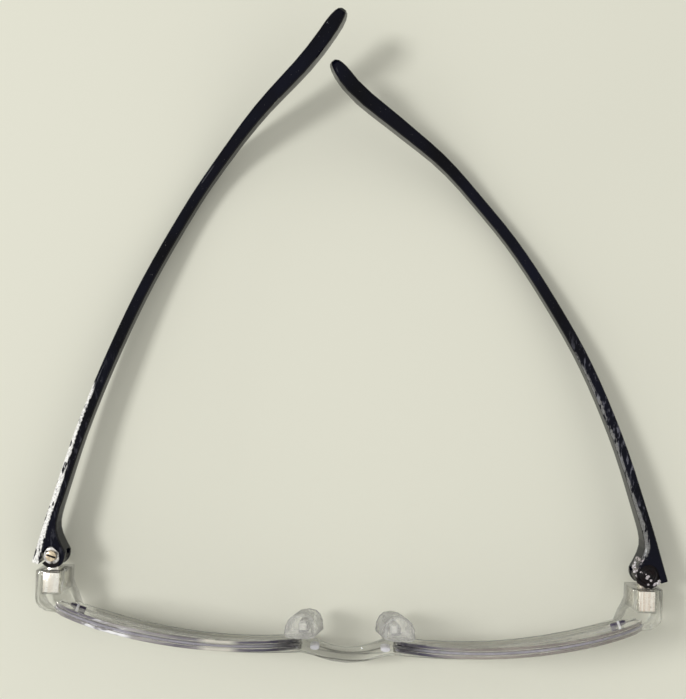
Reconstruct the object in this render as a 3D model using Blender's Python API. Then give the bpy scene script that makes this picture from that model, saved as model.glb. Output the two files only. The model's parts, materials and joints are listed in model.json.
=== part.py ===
"""Broken half-rim eyeglasses with a clear front and dark temples, lying upside down.

Metres. +X runs along the front, +Y from the front towards the temple tips, +Z up from
the surface that the brow bar lies on. Shapes are worked out from the hinge line, where
Y is 0, and the whole part is then centred over its footprint.
"""

import math

import bmesh
import bpy
from mathutils import Matrix, Vector
from mathutils.geometry import interpolate_bezier

# Gaps between pieces that touch on the real object.
SEAT_GAP = 0.0003

# Lenses: outline seen from the front, free edge up.
LENS_WIDTH = 0.0530
LENS_SPACING = 0.0208
LENS_RISE = 0.0206
LENS_DROP = 0.0120
LENS_FLOOR = 0.0020
LENS_EDGE = 0.0023
LENS_CENTRE_THICKNESS = 0.0017
LENS_CURVE_RADIUS = 0.112
LENS_WRAP_DEGREES = 7.0
LENS_LEAN_DEGREES = 11.3
LENS_FRONT_Y = -0.0171
FREE_EDGE_ROUNDNESS = 2.5
HELD_EDGE_ROUNDNESS = 3.5
LENS_STEPS = 60

# Nylon cord that holds each lens.
CORD_DIAMETER = 0.0005
CORD_TUCK = 0.30

# Front moulding.
BROW_DEPTH = 0.0041
BROW_HEIGHT = 0.0035
BROW_LIP = 0.0009
BROW_EDGE_RADIUS = 0.0006
BRIDGE_DEPTH = 0.0034
BRIDGE_HEIGHT = 0.0084
BRIDGE_REACH = 0.0030
NASAL_HEIGHT = 0.0122
END_PIECE_THICKNESS = 0.0067
END_PIECE_BOTTOM = 0.0016
END_PIECE_TOP = 0.0120
END_PIECE_SETBACK = 0.0033
END_PIECE_CORNER = 0.0050
SLOT_LENGTH = 0.0034
SLOT_WIDTH = 0.0005
SLOT_DEPTH = 0.0013
SLOT_TURN = 0.60

# Hinges.
# From a lens's outer edge out to the hinge axis, and on to the end piece's outer face.
HINGE_OUTSET = 0.0026
END_PIECE_OUTSET = 0.0033
BARREL_RADIUS = 0.00185
BARREL_BORE = 0.0010
SCREW_RADIUS = 0.0007
SCREW_HEAD_RADIUS = 0.00115
SCREW_HEAD_HEIGHT = 0.0007
SCREW_SLOT = 0.0004
FRONT_BARREL_BOTTOM = 0.0057
FRONT_BARREL_TOP = 0.0091
TEMPLE_BARREL_BOTTOM = 0.0046
TEMPLE_BARREL_TOP = 0.0110
WEB_WIDTH = 0.0024
ANCHOR_WIDTH = 0.0036
ANCHOR_LENGTH = 0.0044

# Temples.
TEMPLE_THICKNESS = 0.0024
TEMPLE_MID_HEIGHT = 0.0056
ROOT_BOTTOM = 0.0040
ROOT_TOP = 0.0118
ROOT_OUTER = 0.0038
CHEEK_RADIUS = 0.0029
RECESS_RADIUS = 0.0022
TIP_THICKNESS = 0.0032
TIP_HEIGHT = 0.0068
TEMPLE_BEVEL = 0.0006
RIB_COUNT = 4
RIB_START = 0.0040
RIB_PITCH = 0.0014
RIB_LENGTH = 0.0040
RIB_HEIGHT = 0.00025
BROKEN_SIDE = "right"
TEMPLE_STEPS = 44

# Nose pads.
PAD_WIDTH = 0.0080
PAD_DEPTH = 0.0060
PAD_BOTTOM = 0.0072
PAD_TOP = 0.0252
PAD_INSET = 0.0018
PAD_SPLAY_DEGREES = 8.0
PAD_BASE_Y = -0.0142
PAD_LEAN_DEGREES = 5.7
POST_THICKNESS = 0.0016
POST_HEIGHT = 0.0100
POST_ROOT_HEIGHT = 0.0040
POST_REACH = 0.0030

# Centre line of each temple in plan, from the front of its root: inward as a share of the
# hinge's place beside the middle, back as a share of the reach. The right one is bent
# inward, so it isn't a mirror of the left one.
TEMPLE_REACH = 0.1226
TEMPLE_PLAN = {
    "left": (
        (0.0576, 0.113), (0.1282, 0.246), (0.2173, 0.378), (0.3251, 0.514), (0.4570, 0.650),
        (0.5647, 0.740), (0.6910, 0.825), (0.8378, 0.906), (0.9102, 0.953), (0.9697, 1.000),
    ),
    "right": (
        (0.0724, 0.124), (0.1542, 0.252), (0.2619, 0.382), (0.3771, 0.489), (0.5164, 0.600),
        (0.6557, 0.686), (0.7765, 0.749), (0.9269, 0.807), (1.0774, 0.863), (1.1573, 0.912),
    ),
}
ROOT_FRONT = 0.0025

# Height of a temple's middle, as a change from its root's in shares of the drop to the
# lowest place, by the distance along it in shares of the reach.
TEMPLE_DROP = 0.0051
TEMPLE_RISE = (
    (0.000, 0.00), (0.106, -0.02), (0.196, -0.14), (0.294, -0.33), (0.392, -0.47),
    (0.489, -0.65), (0.587, -0.84), (0.669, -1.00), (0.742, -0.98), (0.799, -0.80),
    (0.848, -0.49), (0.905, -0.02), (0.962, 0.45), (1.028, 1.00), (1.150, 2.08),
)

# How far each tip stands above or below that height.
TIP_LIFT = {"left": 0.0010, "right": -0.0010}

# Swelling of a temple's inner face round the hinge, by the distance along it: 0 is the
# plain shank and 1 the full cheek.
ROOT_FLARE = (
    (0.0000, 0.33), (0.0012, 0.84), (0.0026, 0.99), (0.0040, 0.95), (0.0054, 0.64),
    (0.0068, 0.35), (0.0082, 0.15), (0.0096, 0.05), (0.0112, 0.01), (0.0130, 0.0),
)

SIDES = {"left": -1, "right": 1}
ROUND_STEPS = 24


def mix(a, b, share):
    return a + (b - a) * share


def smooth(share):
    share = min(max(share, 0.0), 1.0)
    return share * share * (3 - 2 * share)


def material(name, colour, roughness, metallic=0.0, alpha=1.0):
    made = bpy.data.materials.new(name)
    made.use_nodes = True
    shader = made.node_tree.nodes["Principled BSDF"]
    shader.inputs["Base Color"].default_value = (*colour, 1)
    shader.inputs["Roughness"].default_value = roughness
    shader.inputs["Metallic"].default_value = metallic
    shader.inputs["Alpha"].default_value = alpha
    made.diffuse_color = (*colour, alpha)
    return made


def add_object(name, shape, finish, parent=None, place=(0, 0, 0), hidden=False):
    """Links the shape as an object whose origin is at place, given in the same frame."""
    bmesh.ops.remove_doubles(shape, verts=shape.verts, dist=1e-6)
    bmesh.ops.recalc_face_normals(shape, faces=shape.faces)
    bmesh.ops.translate(shape, verts=shape.verts, vec=-Vector(place))
    mesh = bpy.data.meshes.new(name)
    shape.to_mesh(mesh)
    shape.free()
    mesh.shade_smooth()
    mesh.set_sharp_from_angle(angle=math.radians(35))
    made = bpy.data.objects.new(name, mesh)
    bpy.context.scene.collection.objects.link(made)
    made.location = place
    if finish:
        mesh.materials.append(finish)
    if parent:
        made.parent = parent
        made.location = Vector(place) - parent.location
    if hidden:
        made.hide_render = True
        made.display_type = "WIRE"
    return made


def add_empty(name, place, parent=None):
    made = bpy.data.objects.new(name, None)
    made.location = place
    bpy.context.scene.collection.objects.link(made)
    if parent:
        made.parent = parent
        made.location = Vector(place) - parent.location
    return made


def place_of(thing):
    place = Vector()
    while thing:
        place += thing.location
        thing = thing.parent
    return place


def cut(target, tool, operation="DIFFERENCE"):
    """Applies a hidden tool, which then travels with its target."""
    tool.location -= place_of(target)
    tool.parent = target
    modifier = target.modifiers.new(tool.name, "BOOLEAN")
    modifier.operation = operation
    modifier.solver = "EXACT"
    modifier.object = tool


def loft(rings, poles=None):
    """Skins closed rings of equal count; the ends close on poles or on flat caps."""
    shape = bmesh.new()
    rows = [[shape.verts.new(point) for point in ring] for ring in rings]
    count = len(rings[0])
    for low, high in zip(rows, rows[1:]):
        for i in range(count):
            j = (i + 1) % count
            shape.faces.new((low[i], low[j], high[j], high[i]))
    ends = (rows[0][::-1], rows[-1])
    for end, pole in zip(ends, poles or (None, None)):
        if pole is None:
            shape.faces.new(end)
            continue
        tip = shape.verts.new(pole)
        for i in range(count):
            shape.faces.new((end[i], end[(i + 1) % count], tip))
    return shape


def box(low, high, turn=None, about=(0, 0, 0)):
    shape = bmesh.new()
    bmesh.ops.create_cube(shape, size=1)
    size = Vector(high) - Vector(low)
    middle = (Vector(high) + Vector(low)) / 2
    bmesh.ops.scale(shape, verts=shape.verts, vec=size)
    bmesh.ops.translate(shape, verts=shape.verts, vec=middle)
    if turn is not None:
        bmesh.ops.rotate(
            shape, verts=shape.verts, cent=about, matrix=Matrix.Rotation(turn, 3, "Z")
        )
    return shape


def cylinder(centre, radius, bottom, top, steps=ROUND_STEPS):
    shape = bmesh.new()
    place = Matrix.Translation((centre[0], centre[1], (bottom + top) / 2))
    bmesh.ops.create_cone(
        shape, cap_ends=True, segments=steps, radius1=radius, radius2=radius,
        depth=top - bottom, matrix=place,
    )
    return shape


# Lens sheet.

LENS_WRAP = math.tan(math.radians(LENS_WRAP_DEGREES))
LENS_LEAN = math.tan(math.radians(LENS_LEAN_DEGREES))
LENS_MIDDLE_X = LENS_SPACING / 2 + LENS_WIDTH / 2
LENS_WIDE_Z = LENS_FLOOR + LENS_DROP
LENS_MIDDLE_Z = LENS_FLOOR + (LENS_RISE + LENS_DROP) / 2


def sheet_y(x, z):
    """Front surface of the lenses, for the distance x from the middle and height z."""
    across = abs(x) - LENS_MIDDLE_X
    rise = z - LENS_MIDDLE_Z
    bend = across * across / (2 * LENS_CURVE_RADIUS)
    return LENS_FRONT_Y + LENS_WRAP * across + LENS_LEAN * rise + bend


def outline_point(angle):
    """Point of the lens outline: 0 is its temporal end, a quarter turn its free edge."""
    c, s = math.cos(angle), math.sin(angle)
    free = s >= 0
    power = 2 / (FREE_EDGE_ROUNDNESS if free else HELD_EDGE_ROUNDNESS)
    reach = LENS_RISE if free else LENS_DROP
    x = LENS_MIDDLE_X + LENS_WIDTH / 2 * math.copysign(abs(c) ** power, c)
    z = LENS_WIDE_Z + reach * math.copysign(abs(s) ** power, s)
    return Vector((x, z))


def evenly(points, count, closed):
    """Points at equal distances along a chain of points."""
    chain = list(points) + ([points[0]] if closed else [])
    lengths = [0.0]
    for a, b in zip(chain, chain[1:]):
        lengths.append(lengths[-1] + (b - a).length)
    steps = count if closed else count - 1
    spread = []
    at = 0
    for i in range(count):
        wanted = lengths[-1] * i / steps
        while at < len(lengths) - 2 and lengths[at + 1] < wanted:
            at += 1
        span = lengths[at + 1] - lengths[at]
        spread.append(chain[at].lerp(chain[at + 1], (wanted - lengths[at]) / span))
    return spread


def outline(start, end, count, closed):
    fine = 720
    angles = [mix(start, end, i / fine) for i in range(fine + (0 if closed else 1))]
    return evenly([outline_point(angle) for angle in angles], count, closed)


def outward(points, closed):
    """Unit vectors away from the lens at each point of a chain along its outline."""
    found = []
    last = len(points) - 1
    for i, point in enumerate(points):
        before = points[i - 1] if i or closed else point
        after = points[(i + 1) % len(points)] if i < last or closed else point
        along = (after - before).normalized()
        found.append(Vector((along.y, -along.x)))
    return found


def on_sheet(side, x, z, depth):
    return Vector((side * x, sheet_y(x, z) + depth, z))


CORD_RADIUS = CORD_DIAMETER / 2
GROOVE_RADIUS = CORD_RADIUS + SEAT_GAP
CORD_DEPTH = 0.00005


def lens_shape(side, grow=0.0):
    """A lens, grooved round its edge; grown, it is the seat that is cut for it."""
    points = outline(0, 2 * math.pi, LENS_STEPS, True)
    normals = outward(points, True)
    chamfer = 0.00015
    middle = LENS_EDGE / 2
    profile = [(-chamfer, -grow), (grow, chamfer - grow)]
    if not grow:
        for step in range(5):
            angle = math.pi * step / 4
            inward = -CORD_DEPTH - GROOVE_RADIUS * math.sin(angle)
            at = middle - GROOVE_RADIUS * math.cos(angle)
            profile.append((0.0 if step in (0, 4) else inward, at))
    profile += [(grow, LENS_EDGE - chamfer + grow), (-chamfer, LENS_EDGE + grow)]
    rings = []
    for share in (0.4, 0.75):
        rings.append(inner_ring(side, points, share, -grow))
    for out, depth in profile:
        rings.append([
            on_sheet(side, p.x + out * n.x, p.y + out * n.y, depth)
            for p, n in zip(points, normals)
        ])
    for share in (0.75, 0.4):
        thickness = mix(LENS_CENTRE_THICKNESS, LENS_EDGE, share * share)
        rings.append(inner_ring(side, points, share, thickness + grow))
    poles = (
        on_sheet(side, LENS_MIDDLE_X, LENS_MIDDLE_Z, -grow),
        on_sheet(side, LENS_MIDDLE_X, LENS_MIDDLE_Z, LENS_CENTRE_THICKNESS + grow),
    )
    return loft(rings, poles)


def inner_ring(side, points, share, depth):
    ring = []
    for point in points:
        x = mix(LENS_MIDDLE_X, point.x, share)
        z = mix(LENS_MIDDLE_Z, point.y, share)
        ring.append(on_sheet(side, x, z, depth))
    return ring


def cord_shape(side, radius, sides=8, extra=0.0):
    """The cord round the free part of a lens edge, tucked into the frame at its ends."""
    tuck = CORD_TUCK + extra
    points = outline(-tuck, math.pi + tuck, 44, False)
    normals = outward(points, False)
    path = [
        on_sheet(side, p.x - CORD_DEPTH * n.x, p.y - CORD_DEPTH * n.y, LENS_EDGE / 2)
        for p, n in zip(points, normals)
    ]
    return loft([
        [
            centre + radius * (
                math.cos(turn) * Vector((side * n.x, 0, n.y))
                + math.sin(turn) * Vector((0, 1, 0))
            )
            for turn in (2 * math.pi * k / sides for k in range(sides))
        ]
        for centre, n in zip(path, normals)
    ])


# Front moulding.

HINGE_X = LENS_SPACING / 2 + LENS_WIDTH + HINGE_OUTSET
END_PIECE_OUTER = HINGE_X + END_PIECE_OUTSET
END_PIECE_INNER = END_PIECE_OUTER - END_PIECE_THICKNESS


FRONT_CORNER_Y = (
    sheet_y(END_PIECE_OUTER - END_PIECE_CORNER, 0) - BROW_LIP + END_PIECE_CORNER + 0.0005
)


def brow_station(x, top):
    """One upright section of the bar where it carries the lens."""
    front = sheet_y(x, 0) - BROW_LIP
    return (x, front), (x, front + BROW_DEPTH), 0.0, top, 1.0


def front_stations():
    """Sections of the front from the middle to the hinge: front point and back point in
    plan, lowest and highest z, and the share of the lenses' lean."""
    bridge_front = sheet_y(LENS_SPACING / 2, 0) - BRIDGE_REACH
    lift = 0.0005
    nasal = LENS_SPACING / 2
    stations = []
    for share, top in ((0.0, 0.0), (0.28, 0.03), (0.52, 0.35), (0.74, 0.8)):
        x = nasal * share
        front = mix(bridge_front, sheet_y(nasal, 0) - BROW_LIP, smooth(share ** 1.3))
        depth = mix(BRIDGE_DEPTH, BROW_DEPTH, share)
        height = mix(BRIDGE_HEIGHT, NASAL_HEIGHT, top)
        stations.append(((x, front), (x, front + depth), lift * (1 - share), height, 1.0))
    low = BROW_HEIGHT
    for x, top in (
        (nasal, NASAL_HEIGHT), (nasal + 0.0022, NASAL_HEIGHT - 0.0010),
        (nasal + 0.0042, mix(low, NASAL_HEIGHT, 0.42)), (nasal + 0.0070, low + 0.0010),
        (nasal + 0.0110, low + 0.0002), (nasal + 0.0160, low), (nasal + 0.0220, low),
        (nasal + 0.0280, low), (nasal + 0.0340, low), (nasal + 0.0400, low),
        (nasal + 0.0445, low + 0.0003), (nasal + 0.0478, mix(low, END_PIECE_TOP, 0.30)),
        (nasal + 0.0503, mix(low, END_PIECE_TOP, 0.74)),
    ):
        stations.append(brow_station(x, top))
    corner_x = END_PIECE_OUTER - END_PIECE_CORNER
    corner_y = FRONT_CORNER_Y
    for share in (0.12, 0.36, 0.60, 0.82, 1.0):
        turn = mix(-math.pi / 2, 0, share)
        outer = (
            corner_x + END_PIECE_CORNER * math.cos(turn),
            corner_y + END_PIECE_CORNER * math.sin(turn),
        )
        inner = (
            mix(END_PIECE_INNER - 0.0016, END_PIECE_INNER, share ** 0.5),
            mix(corner_y - 0.0006, corner_y + 0.0030, share),
        )
        bottom = mix(0.0002, END_PIECE_BOTTOM, share)
        top = mix(END_PIECE_TOP - 0.0010, END_PIECE_TOP, share)
        stations.append((outer, inner, bottom, top, 1 - share))
    end = -END_PIECE_SETBACK
    for y in (mix(corner_y, end, 0.62), end):
        stations.append((
            (END_PIECE_OUTER, y), (END_PIECE_INNER, y), END_PIECE_BOTTOM, END_PIECE_TOP, 0.0,
        ))
    return stations


def rounded_section(width, bottom, top, radius, steps=3):
    """Rounded rectangle as (across, up) pairs, counter-clockwise."""
    radius = min(radius, width * 0.45, (top - bottom) * 0.45)
    ring = []
    corners = (
        (width - radius, top - radius), (radius, top - radius),
        (radius, bottom + radius), (width - radius, bottom + radius),
    )
    for number, (across, up) in enumerate(corners):
        for k in range(steps):
            turn = math.pi / 2 * (number + k / (steps - 1))
            ring.append((across + radius * math.cos(turn), up + radius * math.sin(turn)))
    return ring


def front_ring(side, station):
    """Upright section between a front point and a back point of the moulding."""
    (front_x, front_y), (back_x, back_y), bottom, top, lean = station
    front = Vector((side * front_x, front_y, 0))
    across = Vector((side * back_x, back_y, 0)) - front
    width = across.length
    across.normalize()
    return [
        front + across * u + Vector((0, LENS_LEAN * lean * z, z))
        for u, z in rounded_section(width, bottom, top, BROW_EDGE_RADIUS)
    ]


def front_shape():
    stations = front_stations()
    rings = [front_ring(-1, station) for station in reversed(stations[1:])]
    rings += [front_ring(1, station) for station in stations]
    return loft(rings)


# Nose pads and their posts.

PAD_MIDDLE_Z = (PAD_BOTTOM + PAD_TOP) / 2
PAD_SPLAY = math.tan(math.radians(PAD_SPLAY_DEGREES))
PAD_LEAN = math.tan(math.radians(PAD_LEAN_DEGREES))


def pad_centre(side, z):
    x = (LENS_SPACING - PAD_INSET) / 2 + PAD_SPLAY * (z - PAD_MIDDLE_Z)
    return Vector((side * x, PAD_BASE_Y + PAD_LEAN * (z - PAD_MIDDLE_Z), z))


def pad_ring(side, z, share, steps=9):
    """D-shaped section of a pad, flat towards the frame, scaled by share."""
    base = pad_centre(side, z)
    half = PAD_WIDTH / 2 * share
    depth = PAD_DEPTH * mix(0.55, 1.0, share)
    ring = []
    for k in range(steps):
        turn = math.pi * k / (steps - 1)
        x = half * math.copysign(abs(math.cos(turn)) ** 0.8, math.cos(turn))
        ring.append(base + Vector((x, 0.0006 + (depth - 0.0006) * math.sin(turn) ** 0.9, 0)))
    ring.append(base + Vector((-half * 0.86, 0, 0)))
    ring.append(base + Vector((half * 0.86, 0, 0)))
    return ring


def pad_shape(side):
    rings = []
    rounding = 0.0034
    span = PAD_TOP - PAD_BOTTOM
    for share in (0.0, 0.035, 0.10, 0.19, 0.36, 0.56, 0.74, 0.86, 0.94, 0.98, 1.0):
        z = PAD_BOTTOM + span * share
        to_end = min(z - PAD_BOTTOM, PAD_TOP - z) / rounding
        round_off = math.sqrt(max(0.0, 1 - (1 - min(to_end, 1.0)) ** 2))
        rings.append(pad_ring(side, z, mix(0.42, 1.0, round_off)))
    return loft(rings)


def post_shape(side, grow=0.0):
    """The clear tongue that a pad is pushed on to, and its root in the nasal block."""
    half = POST_THICKNESS / 2 + grow
    low = NASAL_HEIGHT - POST_ROOT_HEIGHT - grow
    tongue = PAD_BASE_Y + POST_REACH / 3 - grow
    root = sheet_y(LENS_SPACING / 2, NASAL_HEIGHT) + BROW_DEPTH / 2
    rings = []
    for z, back in (
        (low, root), (NASAL_HEIGHT - 0.0004 + grow, root),
        (NASAL_HEIGHT + 0.0006 + grow, tongue), (low + POST_HEIGHT + 2 * grow, tongue),
    ):
        x = pad_centre(side, z).x
        tip = PAD_BASE_Y + POST_REACH + grow
        rings.append([
            Vector((x - half, tip, z)), Vector((x - half, back, z)),
            Vector((x + half, back, z)), Vector((x + half, tip, z)),
        ])
    return loft(rings)


# Hinges. A hinge frame has its origin on the axis; its angle turns with the temple.

def hinge_axis(side):
    return Vector((side * HINGE_X, 0, 0))


def joined(name, shapes, finish, parent=None, place=(0, 0, 0)):
    """One object from overlapping shapes, united one after the other."""
    first = add_object(name, shapes[0], finish, parent, place)
    for number, shape in enumerate(shapes[1:]):
        tool = add_object(f"{name}_part_{number}", shape, None, hidden=True)
        cut(first, tool, "UNION")
    return first


def front_leaf_shapes(side, grow=0.0):
    """Barrel, web and anchor of the leaf that is moulded into an end piece."""
    x = side * HINGE_X
    low, high = FRONT_BARREL_BOTTOM - grow, FRONT_BARREL_TOP + grow
    anchor_start = -END_PIECE_SETBACK - 0.0005
    anchor_end = anchor_start - ANCHOR_LENGTH
    middle = (FRONT_BARREL_BOTTOM + FRONT_BARREL_TOP) / 2
    half = ANCHOR_WIDTH / 2 + grow
    anchor_rise = 0.0034 + grow
    return [
        cylinder((x, 0), BARREL_RADIUS + grow, low, high),
        box(
            (x - WEB_WIDTH / 2 - grow, anchor_start - 0.0006, low),
            (x + WEB_WIDTH / 2 + grow, 0, high),
        ),
        box(
            (x - half, anchor_end - grow, middle - anchor_rise),
            (x + half, anchor_start + grow, middle + anchor_rise),
        ),
    ]


def front_leaf(name, side, finish, parent):
    leaf = joined(name, front_leaf_shapes(side), finish, parent)
    bore = cylinder((side * HINGE_X, 0), BARREL_BORE, 0, 2 * END_PIECE_TOP)
    cut(leaf, add_object(f"{name}_bore", bore, None, hidden=True))
    return leaf


def root_angle(side_name):
    """Turn of a temple's root about Z, from +Y."""
    inward, back = TEMPLE_PLAN[side_name][0]
    return SIDES[side_name] * math.atan2(inward * HINGE_X, back * TEMPLE_REACH)


def temple_plan(side_name):
    """Points of a temple's centre line in plan."""
    side = SIDES[side_name]
    start = in_root(side_name, ROOT_OUTER - TEMPLE_THICKNESS / 2, -ROOT_FRONT)
    points = [start]
    for inward, back in TEMPLE_PLAN[side_name]:
        points.append(start + Vector((-side * inward * HINGE_X, back * TEMPLE_REACH, 0)))
    return points


def in_root(side_name, across, along, z=0.0):
    """A place given from the hinge axis, outward across the root and back along it."""
    side = SIDES[side_name]
    turn = Matrix.Rotation(root_angle(side_name), 3, "Z")
    return hinge_axis(side) + turn @ Vector((side * across, along, z))


def root_box(side_name, low, high):
    """A box in the root's frame: (across outward, along, z) corners."""
    side = SIDES[side_name]
    axis = hinge_axis(side)
    xs = sorted((side * low[0], side * high[0]))
    return box(
        (axis.x + xs[0], low[1], low[2]), (axis.x + xs[1], high[1], high[2]),
        root_angle(side_name), axis,
    )


BACK_PLATE_START = BARREL_RADIUS + SEAT_GAP + 0.0001
BACK_PLATE_END = BACK_PLATE_START + 0.0017
BACK_PLATE_INNER = 0.00025
BACK_PLATE_OUTER = BACK_PLATE_INNER + 0.0022
BACK_PLATE_INSET = 0.0004
ARM_OUTER = 0.0017


def back_plate(side_name, grow=0.0):
    """Plate of the temple's leaf; grown, it is the pocket, open towards the hinge."""
    opening = BACK_PLATE_START if grow else 0
    return root_box(
        side_name,
        (BACK_PLATE_INNER - grow, BACK_PLATE_START - opening - grow,
         TEMPLE_BARREL_BOTTOM + BACK_PLATE_INSET - grow),
        (BACK_PLATE_OUTER + grow, BACK_PLATE_END + grow,
         TEMPLE_BARREL_TOP - BACK_PLATE_INSET + grow),
    )


def temple_leaf_shapes(side_name):
    """Back plate and two barrels of the leaf let into a temple's root."""
    axis = hinge_axis(SIDES[side_name])
    shapes = [back_plate(side_name)]
    low_inset = TEMPLE_BARREL_BOTTOM + BACK_PLATE_INSET
    high_inset = TEMPLE_BARREL_TOP - BACK_PLATE_INSET
    spans = (
        (TEMPLE_BARREL_BOTTOM, FRONT_BARREL_BOTTOM - SEAT_GAP, low_inset, 0),
        (FRONT_BARREL_TOP + SEAT_GAP, TEMPLE_BARREL_TOP, 0, high_inset),
    )
    for low, high, arm_low, arm_high in spans:
        shapes.append(root_box(
            side_name, (BACK_PLATE_INNER, 0.0004, arm_low or low),
            (ARM_OUTER, BACK_PLATE_START + 0.0002, arm_high or high),
        ))
        shapes.append(cylinder((axis.x, axis.y), BARREL_RADIUS, low, high))
    return shapes


def temple_leaf(name, side_name, finish, parent, place):
    leaf = joined(name, temple_leaf_shapes(side_name), finish, parent, place)
    axis = hinge_axis(SIDES[side_name])
    bore = cylinder((axis.x, axis.y), BARREL_BORE, 0, 2 * END_PIECE_TOP)
    cut(leaf, add_object(f"{name}_bore", bore, None, hidden=True))
    return leaf


def hinge_screw(name, side_name, finish, parent, place):
    axis = hinge_axis(SIDES[side_name])
    bottom = TEMPLE_BARREL_BOTTOM
    seat = TEMPLE_BARREL_TOP + SEAT_GAP
    top = seat + SCREW_HEAD_HEIGHT
    shank = cylinder((axis.x, axis.y), SCREW_RADIUS, bottom, seat + SCREW_HEAD_HEIGHT / 2, 16)
    head = cylinder((axis.x, axis.y), SCREW_HEAD_RADIUS, seat, top, 20)
    screw = joined(name, [shank, head], finish, parent, place)
    slot = root_box(
        side_name,
        (-2 * SCREW_HEAD_RADIUS, -SCREW_SLOT / 2, top - SCREW_HEAD_HEIGHT * 0.45),
        (2 * SCREW_HEAD_RADIUS, SCREW_SLOT / 2, top + SCREW_HEAD_HEIGHT),
    )
    cut(screw, add_object(f"{name}_slot", slot, None, hidden=True))
    return screw


# Temples.

def smooth_path(chain, per_span=12):
    """A smooth curve through a chain of points."""
    path = []
    for i, (a, b) in enumerate(zip(chain, chain[1:])):
        before = chain[i - 1] if i else a - (b - a)
        after = chain[i + 2] if i + 2 < len(chain) else b + (b - a)
        first = a + (b - before) / 6
        second = b - (after - a) / 6
        path += interpolate_bezier(a, first, second, b, per_span)[: -1]
    path.append(chain[-1])
    return path


def read_off(table, at):
    """Value of a table of (distance, value) pairs, eased between its rows."""
    for (a, low), (b, high) in zip(table, table[1:]):
        if at <= b:
            return mix(low, high, (at - a) / (b - a))
    return table[-1][1]


def temple_stations(length):
    """Distances along a temple at which it has a section, closer at both ends."""
    root = [distance for distance, _ in ROOT_FLARE]
    tip = [length - gap for gap in (0.0060, 0.0036, 0.0020, 0.0010, 0.0004, 0.0)]
    middle = TEMPLE_STEPS - len(root) - len(tip)
    body = [mix(root[-1], tip[0], (i + 1) / (middle + 1)) for i in range(middle)]
    return root + body + tip


def middle_height(side_name, s):
    share = s / TEMPLE_REACH
    change = TEMPLE_DROP * read_off(TEMPLE_RISE, share)
    lift = TIP_LIFT[side_name] * smooth((share - 0.80) / 0.18)
    return (ROOT_BOTTOM + ROOT_TOP) / 2 + change + lift


def temple_shape(side_name):
    side = SIDES[side_name]
    path = smooth_path(temple_plan(side_name))
    count = 240
    points = evenly(path, count, False)
    length = sum((b - a).length for a, b in zip(points, points[1:]))
    flat_half = TEMPLE_THICKNESS / 2
    axis_gap = ROOT_OUTER - flat_half
    rings = []
    for s in temple_stations(length):
        at = s / length * (count - 1)
        low = min(int(at), count - 2)
        point = points[low].lerp(points[low + 1], at - low)
        ahead = points[min(low + 2, count - 1)] - points[max(low - 2, 0)]
        ahead.normalize()
        inward = Vector((-side * ahead.y, side * ahead.x, 0))
        slope_step = 0.003
        rise = middle_height(side_name, s + slope_step) - middle_height(side_name, s - slope_step)
        share = s / TEMPLE_REACH
        slope = math.atan2(rise, 2 * slope_step) * smooth((share - 0.80) / 0.10)
        up = Vector((-ahead.x * math.sin(slope), -ahead.y * math.sin(slope), math.cos(slope)))
        root = 1 - smooth(share / 0.28)
        tip = smooth((share - 0.78) / 0.28)
        height = mix(TEMPLE_MID_HEIGHT, ROOT_TOP - ROOT_BOTTOM, root)
        height = mix(height, TIP_HEIGHT, tip)
        outer = mix(flat_half, TIP_THICKNESS / 2, tip)
        flare = read_off(ROOT_FLARE, s)
        inner = mix(outer, axis_gap + CHEEK_RADIUS, flare)
        to_end = (length - s) / (TIP_HEIGHT * 0.62)
        if to_end < 1:
            shrink = math.sqrt(max(1 - (1 - to_end) ** 2, 0.0))
            height *= mix(0.20, 1, shrink)
            outer *= mix(0.30, 1, shrink)
            inner *= mix(0.30, 1, shrink)
        middle = Vector((point.x, point.y, middle_height(side_name, s)))
        ring = []
        section = rounded_section(outer + inner, -height / 2, height / 2, TEMPLE_BEVEL)
        for across, rise in section:
            place = middle + inward * (across - outer) + up * rise
            place.z = max(place.z, 0.0)
            ring.append(place)
        rings.append(ring)
    return loft(rings)


def rib_shape(side_name, number):
    """One of the small upright grip ribs on a temple's outer face, behind the hinge."""
    start = RIB_START + number * RIB_PITCH
    middle = (ROOT_BOTTOM + ROOT_TOP) / 2
    return root_box(
        side_name,
        (ROOT_OUTER - 0.0004, start, middle - RIB_LENGTH / 2),
        (ROOT_OUTER + RIB_HEIGHT, start + RIB_PITCH / 2, middle + RIB_LENGTH / 2),
    )


def fracture_shape():
    """What has broken off the inner cheek: its jagged edge at rising heights.

    Edges are (across, along) in cheek radii, heights in shares of the root's.
    """
    edges = (
        (0.36, ((-0.86, -1.2), (-0.76, -0.66), (-0.90, -0.28), (-0.79, 0.17), (-0.97, 0.45))),
        (0.55, ((-0.41, -1.2), (-0.69, -0.59), (-0.59, -0.31), (-0.76, 0.14), (-0.62, 0.55))),
        (0.80, ((-0.28, -1.2), (-0.62, -0.66), (-0.52, -0.24), (-0.66, 0.31), (-0.45, 0.69))),
        (1.30, ((-0.31, -1.2), (-0.48, -0.55), (-0.62, -0.17), (-0.41, 0.38), (-0.52, 0.76))),
    )
    reach = -2.6
    rings = []
    for share, edge in edges:
        points = edge + ((reach, edge[-1][1] + 0.28), (reach, edge[0][1]))
        z = mix(ROOT_BOTTOM, ROOT_TOP, share)
        rings.append([
            in_root(BROKEN_SIDE, across * CHEEK_RADIUS, along * CHEEK_RADIUS, z)
            for across, along in points
        ])
    return loft(rings)


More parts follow.
